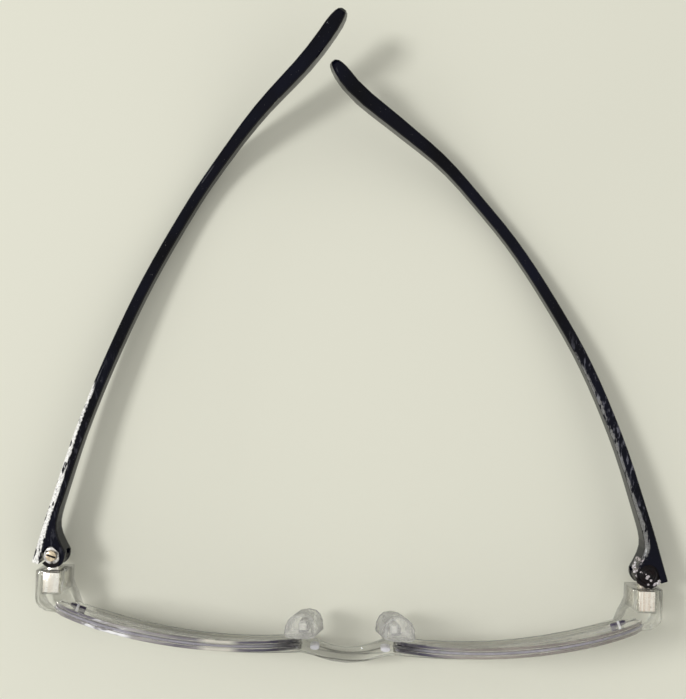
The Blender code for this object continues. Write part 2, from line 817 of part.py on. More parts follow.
def temple(side_name, finish, parent, place):
    name = f"temple_{side_name}"
    side = SIDES[side_name]
    axis = hinge_axis(side)
    body = add_object(name, temple_shape(side_name), finish, parent, place)
    cheek = cylinder((axis.x, axis.y), CHEEK_RADIUS, ROOT_BOTTOM + 0.0001, ROOT_TOP - 0.0001)
    cut(body, add_object(f"{name}_cheek", cheek, None, hidden=True), "UNION")
    high = ROOT_TOP + 0.002
    reach = 0.008
    tools = {
        "recess": cylinder((axis.x, axis.y), RECESS_RADIUS, 0, high),
        "mouth": root_box(
            side_name, (-RECESS_RADIUS, -reach, 0), (RECESS_RADIUS, 0, high)
        ),
        "web_slot": root_box(
            side_name,
            (-reach, -reach, FRONT_BARREL_BOTTOM - SEAT_GAP),
            (RECESS_RADIUS, 0.0019, FRONT_BARREL_TOP + SEAT_GAP),
        ),
        "leaf_pocket": back_plate(side_name, SEAT_GAP),
    }
    if side_name == BROKEN_SIDE:
        tools["fracture"] = fracture_shape()
    for number in range(RIB_COUNT):
        rib = rib_shape(side_name, number)
        cut(body, add_object(f"{name}_rib_{number}", rib, None, hidden=True), "UNION")
    for tool_name, shape in tools.items():
        cut(body, add_object(f"{name}_{tool_name}", shape, None, hidden=True))
    return body


# Assembly.

def clear_scene():
    for old in list(bpy.data.objects):
        bpy.data.objects.remove(old, do_unlink=True)


def end_piece_slot(side):
    """Short narrow slot across the corner of an end piece, in its upper face."""
    low = END_PIECE_TOP - SLOT_DEPTH
    x = END_PIECE_OUTER - 0.0039
    y = FRONT_CORNER_Y - 0.0022
    return box(
        (side * x - SLOT_LENGTH / 2, y - SLOT_WIDTH / 2, low),
        (side * x + SLOT_LENGTH / 2, y + SLOT_WIDTH / 2, END_PIECE_TOP + SLOT_DEPTH),
        side * SLOT_TURN, (side * x, y, 0),
    )


def front_frame(finish, parent):
    frame = add_object("front_frame", front_shape(), finish, parent)
    for side_name, side in SIDES.items():
        post = add_object(f"post_{side_name}", post_shape(side), None, hidden=True)
        cut(frame, post, "UNION")
    for side_name, side in SIDES.items():
        slot = end_piece_slot(side)
        cut(frame, add_object(f"slot_{side_name}", slot, None, hidden=True))
        seat = lens_shape(side, SEAT_GAP)
        cut(frame, add_object(f"lens_seat_{side_name}", seat, None, hidden=True))
        channel = cord_shape(side, CORD_RADIUS + SEAT_GAP, extra=0.05)
        cut(frame, add_object(f"cord_channel_{side_name}", channel, None, hidden=True))
        for number, shape in enumerate(front_leaf_shapes(side, SEAT_GAP)[1:]):
            tool = add_object(f"leaf_seat_{side_name}_{number}", shape, None, hidden=True)
            cut(frame, tool)
    return frame


def centre_over_footprint(part):
    bpy.context.view_layer.update()
    graph = bpy.context.evaluated_depsgraph_get()
    xs, ys = [], []
    for thing in bpy.data.objects:
        if thing.type == "MESH" and not thing.hide_render:
            solid = thing.evaluated_get(graph)
            corners = [solid.matrix_world @ Vector(corner) for corner in solid.bound_box]
            xs += [corner.x for corner in corners]
            ys += [corner.y for corner in corners]
    part.location = (-(min(xs) + max(xs)) / 2, -(min(ys) + max(ys)) / 2, 0)


def main():
    clear_scene()
    clear = material("clear_front", (0.86, 0.87, 0.84), 0.08, alpha=0.30)
    glass = material("coated_lens", (0.80, 0.80, 0.84), 0.05, alpha=0.25)
    nylon = material("nylon", (0.86, 0.86, 0.88), 0.25, alpha=0.60)
    silicone = material("pad_silicone", (0.66, 0.65, 0.72), 0.40, alpha=0.55)
    navy = material("navy_plastic", (0.010, 0.012, 0.030), 0.12)
    steel = material("hinge_metal", (0.80, 0.76, 0.66), 0.25, metallic=1.0)
    brass = material("screw_metal", (0.72, 0.58, 0.36), 0.30, metallic=1.0)

    part = add_empty("eyeglasses", (0, 0, 0))
    front_frame(clear, part)
    for side_name, side in SIDES.items():
        axis = hinge_axis(side)
        swing = add_empty(f"{side_name}_hinge_axis", axis, part)
        add_object(f"lens_{side_name}", lens_shape(side), glass, part)
        add_object(f"lens_cord_{side_name}", cord_shape(side, CORD_RADIUS), nylon, part)
        pad = add_object(f"nose_pad_{side_name}", pad_shape(side), silicone, part)
        pocket = post_shape(side, SEAT_GAP)
        cut(pad, add_object(f"pad_pocket_{side_name}", pocket, None, hidden=True))
        front_leaf(f"front_hinge_leaf_{side_name}", side, steel, part)
        temple(side_name, navy, swing, axis)
        temple_leaf(f"temple_hinge_leaf_{side_name}", side_name, steel, swing, axis)
        hinge_screw(f"hinge_screw_{side_name}", side_name, brass, swing, axis)
    centre_over_footprint(part)


main()
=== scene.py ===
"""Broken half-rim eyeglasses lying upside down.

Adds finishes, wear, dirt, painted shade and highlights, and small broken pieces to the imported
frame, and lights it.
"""

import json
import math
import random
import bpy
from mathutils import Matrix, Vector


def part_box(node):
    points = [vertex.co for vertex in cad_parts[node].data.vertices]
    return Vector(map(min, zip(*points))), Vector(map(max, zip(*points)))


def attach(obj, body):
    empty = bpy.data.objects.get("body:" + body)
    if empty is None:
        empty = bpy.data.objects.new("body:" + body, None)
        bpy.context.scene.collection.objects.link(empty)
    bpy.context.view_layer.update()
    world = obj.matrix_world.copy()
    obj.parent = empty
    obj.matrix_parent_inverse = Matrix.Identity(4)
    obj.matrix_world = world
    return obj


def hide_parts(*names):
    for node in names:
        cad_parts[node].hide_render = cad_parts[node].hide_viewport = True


bl_info = {
    "name": "Broken Eyeglasses",
    "version": (1, 0, 0),
    "blender": (4, 5, 0),
    "location": "3D View > Sidebar > Eyeglasses",
    "description": "Dresses the eyeglasses and lights them on a pale floor",
    "category": "Object",
}

import bpy
from mathutils import Vector

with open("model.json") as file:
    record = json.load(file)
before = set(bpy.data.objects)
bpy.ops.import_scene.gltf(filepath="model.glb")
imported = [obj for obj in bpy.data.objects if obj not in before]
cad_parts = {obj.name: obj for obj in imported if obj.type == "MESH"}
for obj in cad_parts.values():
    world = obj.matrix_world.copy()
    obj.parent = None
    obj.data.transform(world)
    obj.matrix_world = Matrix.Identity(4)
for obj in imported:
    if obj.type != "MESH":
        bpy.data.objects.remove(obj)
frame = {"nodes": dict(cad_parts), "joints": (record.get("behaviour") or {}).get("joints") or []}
NODES = frame["nodes"]
HINGES = {joint["name"]: Vector(joint["pos_m"]) for joint in frame["joints"]}
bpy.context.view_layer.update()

MM = 0.001
SIDES = {"left": -1, "right": 1}
FRONT_MIDDLE = (HINGES["left_hinge"] + HINGES["right_hinge"]) / 2

# The two dark lines of painted shade on the clear bridge follow this bow and fade out
# past its half width. Where they lie is from front to back at the bridge's middle, in
# millimetres.
BRIDGE_MIDDLE = 0.7
BRIDGE_BOW = 0.023
BRIDGE_HALF = 8.0
FRONT_SHADE_LINE = (-70.55, -70.35)
REAR_SHADE_LINE = (-69.05, -68.80)
CREASE_SHADE = (0.05, 0.045, 0.035)

# The nasal ends of the lenses carry a painted dark purple reflection up to the first
# distance from the middle, fading out by the second, in millimetres.
FACE_NASAL_END = (14.0, 17.8)
EDGE_NASAL_END = (13.2, 17.5)
NASAL_REFLECTION_PURPLE = (0.014, 0.009, 0.030)
EDGE_REFLECTION_PURPLE = (0.012, 0.008, 0.028)

# The camera looks straight down from this place over the hinge line, in millimetres.
CAMERA_OVER = (-3.05, 47.65, 310.0)
CAMERA_TURN = math.radians(1.83)
CAMERA_LENS = 69.61
CAMERA_SENSOR = 36.0


def from_hinges(x, y, z):
    """A place in metres from millimetres right of, behind and above the hinge line."""
    return Vector((FRONT_MIDDLE.x + x * MM, FRONT_MIDDLE.y + y * MM, z * MM))


# Shader building.

class Wire:
    """A shader value; arithmetic on it adds Math nodes."""

    def __init__(self, graph, socket):
        self.graph = graph
        self.socket = socket

    def _math(self, operation, first, second):
        return self.graph.node(
            "ShaderNodeMath", {"operation": operation}, {0: first, 1: second}
        )

    def __add__(self, other):
        return self._math("ADD", self, other)

    def __sub__(self, other):
        return self._math("SUBTRACT", self, other)

    def __rsub__(self, other):
        return self._math("SUBTRACT", other, self)

    def __mul__(self, other):
        return self._math("MULTIPLY", self, other)

    __radd__ = __add__
    __rmul__ = __mul__


class Graph:
    """A node tree that is built by plain calls."""

    def __init__(self, tree, coordinates):
        self.tree = tree
        self.place = self.node("ShaderNodeTexCoord", output=coordinates)

    def feed(self, socket, value):
        if isinstance(value, Wire):
            self.tree.links.new(value.socket, socket)
        elif socket.type == "RGBA" and len(value) == 3:
            socket.default_value = (*value, 1.0)
        else:
            socket.default_value = value

    def node(self, kind, settings=None, inputs=None, output=0):
        made = self.tree.nodes.new(kind)
        for name, value in (settings or {}).items():
            setattr(made, name, value)
        for name, value in (inputs or {}).items():
            self.feed(made.inputs[name], value)
        return Wire(self, made.outputs[output])

    def band(self, value, low, high, start=0.0, end=1.0):
        """Maps value from low..high to start..end, held at both."""
        return self.node("ShaderNodeMapRange", {"clamp": True}, {
            "Value": value, "From Min": low, "From Max": high,
            "To Min": start, "To Max": end,
        })

    def blend(self, share, first, second):
        """Colour between two colours."""
        return self.node(
            "ShaderNodeMix", {"data_type": "RGBA", "blend_type": "MIX"},
            {0: share, 6: first, 7: second}, output=2,
        )

    def axis(self, name):
        """X, Y or Z of the place that is shaded."""
        return self.node("ShaderNodeSeparateXYZ", None, {0: self.place}, output=name)


class Finish(Graph):
    """A material round one Principled shader."""

    def __init__(self, name, **constants):
        self.material = bpy.data.materials.new(name)
        self.material.use_nodes = True
        super().__init__(self.material.node_tree, "Object")
        self.shader = self.tree.nodes["Principled BSDF"]
        self.set(**constants)

    def set(self, **values):
        for name, value in values.items():
            self.feed(self.shader.inputs[name.replace("_", " ")], value)
        return self

    def stretched(self, scale):
        return self.node(
            "ShaderNodeMapping", None, {"Vector": self.place, "Scale": scale}
        )

    def noise(self, per_metre, detail=3.0, stretch=None, roughness=0.55):
        place = self.stretched(stretch) if stretch else self.place
        return self.node("ShaderNodeTexNoise", None, {
            "Vector": place, "Scale": per_metre, "Detail": detail,
            "Roughness": roughness,
        })

    def stretch_of(self, value, low, high, soft):
        """One between low and high, fading out over soft on both sides."""
        return self.band(value, low - soft, low) * self.band(
            value, high, high + soft, 1.0, 0.0
        )

    def painted(self, name):
        """A value painted on the mesh."""
        return self.node("ShaderNodeAttribute", {"attribute_name": name}, output="Fac")

    def outline(self, face_on, edge_on, low=0.05, high=0.70):
        """From one value seen straight on to another where the surface turns away."""
        turning = self.node(
            "ShaderNodeLayerWeight", None, {"Blend": 0.35}, output="Facing"
        )
        return self.band(turning, low, high, face_on, edge_on)

    def nasal_end(self, dark_to, clear_from):
        """One at the nasal end of either lens, by the millimetres from the middle."""
        across = self.node(
            "ShaderNodeMath", {"operation": "ABSOLUTE"}, {0: self.axis("X") * 1000}
        )
        return self.band(across, dark_to, clear_from, 1.0, 0.0)

    def bump(self, height, distance, strength=0.5):
        normal = self.node("ShaderNodeBump", None, {
            "Height": height, "Distance": distance, "Strength": strength,
        }, output="Normal")
        return self.set(Normal=normal)


def clear_plastic(name, tint):
    """Clear moulded plastic: greasy haze, fine scratches, painted shade at its outline and in
    two dark lines across the bridge.
    """
    made = Finish(name, IOR=1.49, Transmission_Weight=1.0)
    smudge = made.band(made.noise(160, 4.0), 0.50, 0.72)
    scratch = made.band(made.noise(900, 2.0, (1.0, 0.12, 1.0)), 0.66, 0.72)
    made.set(Roughness=0.025 + smudge * 0.10 + scratch * 0.12)
    haze = made.blend(smudge * 0.5, tint, [channel * 0.93 for channel in tint])
    # Painted shade: the colour turns near black where the surface turns away, for the dark
    # outline lines of clear plastic.
    rim_shade = made.outline(0.0, 0.92, 0.28, 0.66)
    rim_shaded = made.blend(rim_shade, haze, (0.035, 0.032, 0.03))
    # Painted shade: two dark lines across the bridge, which are also made more opaque.
    across = made.axis("X") * 1000 - BRIDGE_MIDDLE
    bowed = made.axis("Y") * 1000 - across * across * BRIDGE_BOW
    shade_lines = made.stretch_of(bowed, *FRONT_SHADE_LINE, 0.15)
    shade_lines = shade_lines + made.stretch_of(bowed, *REAR_SHADE_LINE, 0.15) * 0.8
    shade_lines = shade_lines * made.stretch_of(across, -BRIDGE_HALF, BRIDGE_HALF, 3.0)
    solid = made.outline(0.14, 0.95, 0.05, 0.64)
    made.set(Base_Color=made.blend(shade_lines * 0.95, rim_shaded, CREASE_SHADE))
    made.set(Alpha=solid + smudge * 0.05 + shade_lines * 0.6)
    return made.bump(smudge * 0.5 + scratch, 0.00002, 0.25).material


def lens_face(name, tint):
    """Polished lens face: smeared, with a painted purple reflection where the nasal end turns
    away.
    """
    made = Finish(name, IOR=1.56, Transmission_Weight=1.0)
    smear = made.band(made.noise(120, 4.0, (1.0, 1.0, 0.4)), 0.52, 0.75)
    made.set(Roughness=0.01 + smear * 0.07)
    nasal_reflection = made.nasal_end(*FACE_NASAL_END) * made.outline(0.0, 0.98, 0.35, 0.70)
    smeared = made.blend(smear * 0.4, tint, [0.93 * c for c in tint])
    made.set(Base_Color=made.blend(nasal_reflection, smeared, NASAL_REFLECTION_PURPLE))
    return made.set(Alpha=made.outline(0.25, 0.95)).material


def lens_edge(name, dark, pale):
    """Ground edge of a lens: streaked, with lit stretches and a painted dark reflection at the
    nasal end.
    """
    made = Finish(name, IOR=1.56, Coat_Weight=0.3, Coat_Roughness=0.08)
    along = made.axis("X") * 1000
    nasal_reflection = made.nasal_end(*EDGE_NASAL_END)
    streak = made.band(made.noise(60, 3.0, (1.0, 6.0, 1.0)), 0.42, 0.62)
    fine = made.band(made.noise(700, 2.0, (0.04, 1.0, 1.0)), 0.48, 0.60)
    colour = made.blend(streak, dark, [0.5 * (a + b) for a, b in zip(dark, pale)])
    lit = made.stretch_of(along, -54.5, -46.0, 2.0) * fine
    cream = made.stretch_of(along, -29.0, -24.5, 2.2)
    beige = made.stretch_of(along, 26.0, 62.0, 9.0)
    colour = made.blend(beige * 0.45, colour, (0.40, 0.33, 0.26))
    colour = made.blend(lit, colour, (0.92, 0.91, 0.93))
    colour = made.blend(cream * 0.75, colour, (0.86, 0.82, 0.70))
    colour = made.blend(nasal_reflection * 0.96, colour, EDGE_REFLECTION_PURPLE)
    made.set(Base_Color=colour, Roughness=0.20 + streak * 0.2)
    made.set(Alpha=0.88 - beige * 0.30 + nasal_reflection * 0.12)
    return made.bump(made.noise(1500, 2.0), 0.00001, 0.3).material


def nylon_line(name, colour, dark_end=0.0):
    """Worn translucent nylon, with a painted dark reflection of strength dark_end at the nasal
    ends of the lenses.
    """
    made = Finish(name, Roughness=0.3, Transmission_Weight=0.35, IOR=1.53)
    worn = made.band(made.noise(500, 2.0), 0.45, 0.7)
    nasal_reflection = made.nasal_end(*EDGE_NASAL_END) * dark_end
    shade = made.blend(worn, colour, [0.8 * c for c in colour])
    made.set(Base_Color=made.blend(nasal_reflection, shade, NASAL_REFLECTION_PURPLE))
    return made.material


def soft_pad(name, colour):
    """Hazy silicone, clouded in patches, with painted shade darkening its outline."""
    made = Finish(name, IOR=1.42, Transmission_Weight=0.60)
    cloud = made.band(made.noise(420, 4.0), 0.40, 0.66)
    # Painted shade: near black where the surface turns away.
    rim_shade = made.outline(0.0, 0.9, 0.52, 0.80)
    hazy = made.blend(cloud, colour, [0.84 * c for c in colour])
    made.set(Base_Color=made.blend(rim_shade, hazy, (0.07, 0.065, 0.085)))
    made.set(Roughness=0.22 + cloud * 0.22)
    made.set(Alpha=made.outline(0.10, 0.80, 0.30, 0.90) + cloud * 0.12)
    return made.bump(cloud, 0.00005, 0.4).material


def gloss_temple(name, colour, wear_and_highlight_colour, strength):
    """Dark gloss plastic with scuffs, and wear with a painted highlight along the bevels."""
    made = Finish(name, IOR=1.08, Coat_Weight=0.18, Coat_Roughness=0.04)
    # The bevel strip is worn and also a painted highlight: its whitish colour stands for light
    # caught by the bevel.
    worn = made.band(made.painted("bevel_wear_and_highlight"), 0.42, 0.58, 0.0, strength)
    mottle = made.band(made.noise(1300, 3.0, (1.0, 0.28, 1.0)), 0.38, 0.45)
    flecks = made.band(made.noise(2600, 2.0), 0.42, 0.55)
    wear = worn * mottle * (0.70 + flecks * 0.30)
    scuffed = made.painted("scuffs")
    scuff = scuffed * made.band(made.noise(1500, 3.0, (1.0, 0.25, 1.0)), 0.55, 0.66)
    dust = made.band(made.noise(3400, 1.0), 0.74, 0.80)
    depth = made.band(made.noise(70, 2.0), 0.35, 0.7)
    base = made.blend(depth, colour, (0.0015, 0.0015, 0.003))
    base = made.blend(wear, base, wear_and_highlight_colour)
    base = made.blend(scuff * 0.6, base, (0.20, 0.20, 0.24))
    base = made.blend(dust * 0.25, base, (0.45, 0.43, 0.40))
    made.set(Base_Color=base)
    made.set(Roughness=0.07 + wear * 0.30 + scuff * 0.35 + mottle * 0.03)
    return made.bump(wear + scuff + dust * 0.3, 0.00003, 0.35).material


def hinge_metal(name, colour, stain, stained=0.0, streaks=None):
    """Worn metal, tarnished in patches, and drawn in streaks where they are given."""
    made = Finish(name)
    tarnish = made.band(made.noise(900, 4.0), 0.46, 0.66)
    line = made.band(made.noise(1400, 2.0, streaks or (1.0, 1.0, 0.1)), 0.42, 0.62)
    if streaks:
        base = made.blend(line * (0.35 + stained), colour, stain)
        tarnish = tarnish * 0.3
    else:
        base = made.blend(line * 0.45, colour, [0.55 * c for c in colour])
    base = made.blend(tarnish * (0.25 + 0.75 * stained), base, stain)
    made.set(Base_Color=base, Roughness=0.20 + tarnish * 0.35)
    made.set(Metallic=0.85 - tarnish * 0.7 * max(stained, 0.25))
    return made.bump(line + tarnish, 0.00002, 0.3).material


def rough_break(name, colour, glint_colour):
    """Broken plastic: faceted and dark, with whitish marks painted in as glints."""
    made = Finish(name, IOR=1.50)
    facets = made.node(
        "ShaderNodeTexVoronoi", {"feature": "F1"},
        {"Vector": made.place, "Scale": 2600.0}, output="Distance",
    )
    pale = made.band(made.noise(1500, 4.0), 0.52, 0.62)
    # Painted glints: the whitish patches stand for light caught on the fracture.
    made.set(Base_Color=made.blend(pale, colour, glint_colour), Roughness=0.22 + pale * 0.2)
    return made.bump(facets + pale * 0.5, 0.00008, 0.8).material


def grime(name, dark, rust):
    """Packed dirt in two shades, also used for the painted shade in the hinge recesses."""
    made = Finish(name, IOR=1.35, Specular_IOR_Level=0.3)
    patch = made.band(made.noise(1300, 4.0), 0.45, 0.65)
    made.set(Base_Color=made.blend(patch, dark, rust), Roughness=0.30 + patch * 0.35)
    return made.bump(made.noise(2400, 3.0), 0.00008, 0.6).material


# Mesh building.

def select_only(thing):
    bpy.ops.object.select_all(action="DESELECT")
    thing.select_set(True)
    bpy.context.view_layer.objects.active = thing


def in_edit_mode(thing, *steps):
    """Runs mesh operators on all of a piece: each step is (operator, arguments)."""
    select_only(thing)
    bpy.ops.object.mode_set(mode="EDIT")
    bpy.ops.mesh.select_all(action="SELECT")
    for operator, arguments in steps:
        operator(**arguments)
    bpy.ops.object.mode_set(mode="OBJECT")


def apply_modifier(thing, kind, **values):
    select_only(thing)
    made = thing.modifiers.new(kind.title(), kind)
    for name, value in values.items():
        setattr(made, name, value)
    bpy.ops.object.modifier_apply(modifier=made.name)


def copy_of(node, name):
    """A merged copy of a frame node's mesh, free to be shaped."""
    piece = bpy.data.objects.new(name, NODES[node].data.copy())
    bpy.context.scene.collection.objects.link(piece)
    piece.data.materials.clear()
    select_only(piece)
    bpy.ops.mesh.customdata_custom_splitnormals_clear()
    in_edit_mode(
        piece,
        (bpy.ops.mesh.remove_doubles, {"threshold": 1e-6}),
        (bpy.ops.mesh.dissolve_limited, {"angle_limit": math.radians(0.4)}),
    )
    return piece


def soften(piece, width, angle=35, segments=2):
    """Rounds a piece's hard edges a little."""
    apply_modifier(
        piece, "BEVEL", width=width, segments=segments, limit_method="ANGLE",
        angle_limit=math.radians(angle), use_clamp_overlap=True,
    )


def settle(piece, finishes, body, slot, *stands_for):
    """Bakes a piece's place into its mesh and ties it to the frame."""
    select_only(piece)
    bpy.ops.object.transform_apply(location=True, rotation=True, scale=True)
    bpy.ops.object.shade_smooth_by_angle(angle=math.radians(38))
    for finish in finishes:
        piece.data.materials.append(finish)
    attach(piece, body)
    if stands_for:
        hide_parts(*stands_for)
    return piece


def joined(pieces, name):
    """Makes one piece of several."""
    bpy.ops.object.select_all(action="DESELECT")
    for piece in pieces:
        piece.select_set(True)
    bpy.context.view_layer.objects.active = pieces[0]
    bpy.ops.object.join()
    pieces[0].name = pieces[0].data.name = name
    return pieces[0]


def added(operator, name, **arguments):
    """A new mesh from a primitive operator, with nothing else selected."""
    bpy.ops.object.select_all(action="DESELECT")
    operator(**arguments)
    piece = bpy.context.object
    piece.name = piece.data.name = name
    return piece


def paint(piece, name, value_at):
    """Writes value_at(place, normal) on every point of a piece."""
    layer = piece.data.attributes.new(name, "FLOAT", "POINT")
    for point, entry in zip(piece.data.vertices, layer.data):
        entry.value = value_at(point.co, point.normal)


def eased(value, low, high):
    """Zero up to low and one from high on, with a smooth step between."""
    share = min(max((value - low) / (high - low), 0.0), 1.0)
    return share * share * (3 - 2 * share)


# Settings, operators and panel.

class EyeglassesSettings(bpy.types.PropertyGroup):
    front_tint: bpy.props.FloatVectorProperty(
        name="Front tint", description="Colour of the clear moulding", size=3,
        subtype="COLOR", min=0, max=1, default=(0.965, 0.968, 0.945),
    )
    lens_tint: bpy.props.FloatVectorProperty(
        name="Lens tint", description="Colour of the lenses seen through", size=3,
        subtype="COLOR", min=0, max=1, default=(0.955, 0.950, 0.975),
    )
    edge_dark: bpy.props.FloatVectorProperty(
        name="Lens edge, dark", description="Darker colour of the lens edges", size=3,
        subtype="COLOR", min=0, max=1, default=(0.085, 0.075, 0.115),
    )
    edge_pale: bpy.props.FloatVectorProperty(
        name="Lens edge, pale", description="Paler colour of the lens edges", size=3,
        subtype="COLOR", min=0, max=1, default=(0.56, 0.52, 0.47),
    )
    pad_colour: bpy.props.FloatVectorProperty(
        name="Pads", description="Colour of the nose pads", size=3,
        subtype="COLOR", min=0, max=1, default=(0.95, 0.94, 1.0),
    )
    temple_colour: bpy.props.FloatVectorProperty(
        name="Temples", description="Colour of the temples", size=3,
        subtype="COLOR", min=0, max=1, default=(0.003, 0.0035, 0.010),
    )
    edge_rounding: bpy.props.FloatProperty(
        name="Edge rounding", description="Largest radius on the moulding's edges",
        default=0.00022, min=0.00005, max=0.0006, unit="LENGTH", precision=5,
    )
    wear: bpy.props.FloatProperty(
        name="Wear", description="How strongly the bevels are worn", default=1.0,
        min=0.0, max=1.0, subtype="FACTOR",
    )
    light_power: bpy.props.FloatProperty(
        name="Key light", description="Power of the main soft light", default=15.5,
        min=0.0, max=60.0, unit="POWER",
    )


class PieceOperator(bpy.types.Operator):
    """Makes one piece or one group of like pieces."""

    bl_options = {"REGISTER", "UNDO"}

    def execute(self, context):
        self.make(context.scene.eyeglasses)
        return {"FINISHED"}


class EYEGLASSES_OT_front(PieceOperator):
    """Dress the clear brow bar, bridge and end pieces"""

    bl_idname = "eyeglasses.front"
    bl_label = "Clear front"

    def make(self, settings):
        piece = copy_of("front_frame", "clear_front")
        soften(piece, settings.edge_rounding, 30)
        finish = clear_plastic("clear moulding", settings.front_tint)
        settle(piece, [finish], "front", "clear_front", "front_frame")


class EYEGLASSES_OT_lenses(PieceOperator):
    """Dress both lenses, with ground edges apart from the polished faces"""

    bl_idname = "eyeglasses.lenses"
    bl_label = "Lenses"

    def make(self, settings):
        face = lens_face("polished lens", settings.lens_tint)
        edge = lens_edge("ground lens edge", settings.edge_dark, settings.edge_pale)
        for side in SIDES:
            node = f"lens_{side}"
            piece = copy_of(node, f"ground_lens_{side}")
            centre = sum(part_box(node), Vector()) / 2
            settle(piece, [face, edge], "front", "coated_lens", node)
            for polygon in piece.data.polygons:
                away = polygon.center - centre
                flat = Vector((away.x, 0, away.z))
                facing = flat.normalized().dot(polygon.normal) if flat.length else 0
                polygon.material_index = int(facing > 0.6)


class EYEGLASSES_OT_cords(PieceOperator):
    """Give the nylon lines round the lenses their finish"""

    bl_idname = "eyeglasses.cords"
    bl_label = "Lens cords"

    def make(self, settings):
        finish = nylon_line("nylon line", (0.46, 0.44, 0.50), 0.95)
        for side in SIDES:
            node = NODES[f"lens_cord_{side}"]
            node.data.materials.clear()
            node.data.materials.append(finish)


class EYEGLASSES_OT_pads(PieceOperator):
    """Dress the soft nose pads"""

    bl_idname = "eyeglasses.pads"
    bl_label = "Nose pads"

    def make(self, settings):
        finish = soft_pad("hazy silicone", settings.pad_colour)
        for side in SIDES:
            node = f"nose_pad_{side}"
            piece = copy_of(node, f"soft_pad_{side}")
            low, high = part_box(node)
            fixed = (low.x + high.x) / 2 if side == "left" else high.x
            in_edit_mode(piece, (bpy.ops.transform.resize, {
                "value": (0.86, 0.82, 1.0),
                "center_override": (fixed, low.y, low.z),
            }))
            soften(piece, 0.0004, 30, 3)
            settle(piece, [finish], "front", "pad_silicone", node)


class EYEGLASSES_OT_hinges(PieceOperator):
    """Dress the hinge leaves and their slotted screws"""

    bl_idname = "eyeglasses.hinges"
    bl_label = "Hinges"

    def make(self, settings):
        cream = hinge_metal(
            "embedded anchor", (0.97, 0.95, 0.87), (0.80, 0.70, 0.56), 0.10,
            (1.0, 0.08, 0.3),
        )
        stained_cream = hinge_metal(
            "stained anchor", (0.97, 0.93, 0.83), (0.74, 0.58, 0.46), 0.25,
            (2.4, 0.05, 0.3),
        )
        silver = hinge_metal("hinge leaf", (0.88, 0.86, 0.82), (0.02, 0.015, 0.01), 1.0)
        dark = hinge_metal("stained leaf", (0.30, 0.24, 0.22), (0.05, 0.03, 0.03), 0.9)
        gold = hinge_metal("screw head", (0.88, 0.74, 0.52), (0.22, 0.15, 0.09), 0.6)
        black = hinge_metal("fouled screw", (0.20, 0.15, 0.14), (0.03, 0.02, 0.02), 0.9)
        plans = {
            "front_hinge_leaf": ("front", "hinge_metal", cream, stained_cream),
            "temple_hinge_leaf": ("{}_temple", "hinge_metal", silver, dark),
            "hinge_screw": ("{}_temple", "screw_metal", gold, black),
        }
        for kind, (body, slot, sound, broken) in plans.items():
            for side in SIDES:
                node = f"{kind}_{side}"
                piece = copy_of(node, f"worn_{node}")
                soften(piece, 0.00010, 30)
                finish = sound if side == "left" else broken
                settle(piece, [finish], body.format(side), slot, node)


# Where the right temple is broken, in millimetres inward, back and up from its hinge.
BREAK_INWARD = (1.0, 3.0)
BREAK_BACK = (-3.2, 3.4)
BREAK_BOTTOM = -1.2
LEVEL_NORMAL = 0.97


class EYEGLASSES_OT_temples(PieceOperator):
    """Dress the dark temples, their worn bevels with painted highlights, and the broken cheek"""

    bl_idname = "eyeglasses.temples"
    bl_label = "Temples"

    def make(self, settings):
        broken = rough_break(
            "broken plastic", (0.012, 0.010, 0.016), (0.70, 0.62, 0.64)
        )
        for side in SIDES:
            node = f"temple_{side}"
            piece = copy_of(node, f"gloss_temple_{side}")
            gloss = gloss_temple(
                f"gloss navy plastic, {side}", settings.temple_colour,
                (0.95, 0.94, 0.90), settings.wear * (1.0 if side == "left" else 0.22),
            )
            soften(piece, 0.00012, 40)
            apply_modifier(
                piece, "SUBSURF", subdivision_type="SIMPLE", levels=3, render_levels=3
            )
            body = f"{side}_temple"
            settle(piece, [gloss, broken], body, "navy_plastic", node)
            self.paint_wear(piece, side)
            if side == "right":
                self.mark_break(piece)

    def paint_wear(self, piece, side):
        """Paints wear with a painted highlight: the outer edge on the left, the inner edge on
        the right.

        Both are the edge on the -X side, which is found for each millimetre along Y.
        """
        hinge = HINGES[f"{side}_hinge"]
        edges = {}
        for point in piece.data.vertices:
            row = round(point.co.y / MM)
            edges[row] = min(edges.get(row, point.co.x), point.co.x)

        def inset(place):
            row = math.floor(place.y / MM)
            near = [edges[r] for r in (row, row + 1) if r in edges]
            return (place.x - sum(near) / len(near)) / MM if near else 9.0

        def bevel(place, normal):
            back = (place.y - hinge.y) / MM
            if side == "left":
                width = 1.45 - 0.75 * eased(back, 4, 36)
                along = 1 - eased(back, 36, 42)
            else:
                width = 1.1 - 0.4 * eased(back, 6, 20)
                along = eased(back, 2, 4) * (1 - eased(back, 40, 60))
            strip = 0.5 + (width - inset(place)) / 1.6
            return min(max(strip, 0.0), 1.0) * along * eased(normal.z, 0.1, 0.4)

        def scuffs(place, normal):
            back = (place.y - hinge.y) / MM
            if side == "left":
                return 0.25 * eased(normal.z, 0.3, 0.8) * (1 - eased(back, 20, 60))
            along = eased(back, 8, 20) * (1 - eased(back, 42, 55))
            return along * eased(normal.z, 0.0, 0.6)

        paint(piece, "bevel_wear_and_highlight", bevel)
        paint(piece, "scuffs", scuffs)

    def mark_break(self, piece):
        """The jagged faces round the inner side of the hinge take the broken finish."""
        hinge = HINGES["right_hinge"]
        for polygon in piece.data.polygons:
            away = (polygon.center - hinge) / MM
            inside = (
                BREAK_INWARD[0] < -away.x < BREAK_INWARD[1]
                and BREAK_BACK[0] < away.y < BREAK_BACK[1]
                and away.z > BREAK_BOTTOM
            )
            if inside and abs(polygon.normal.z) < LEVEL_NORMAL:
                polygon.material_index = 1


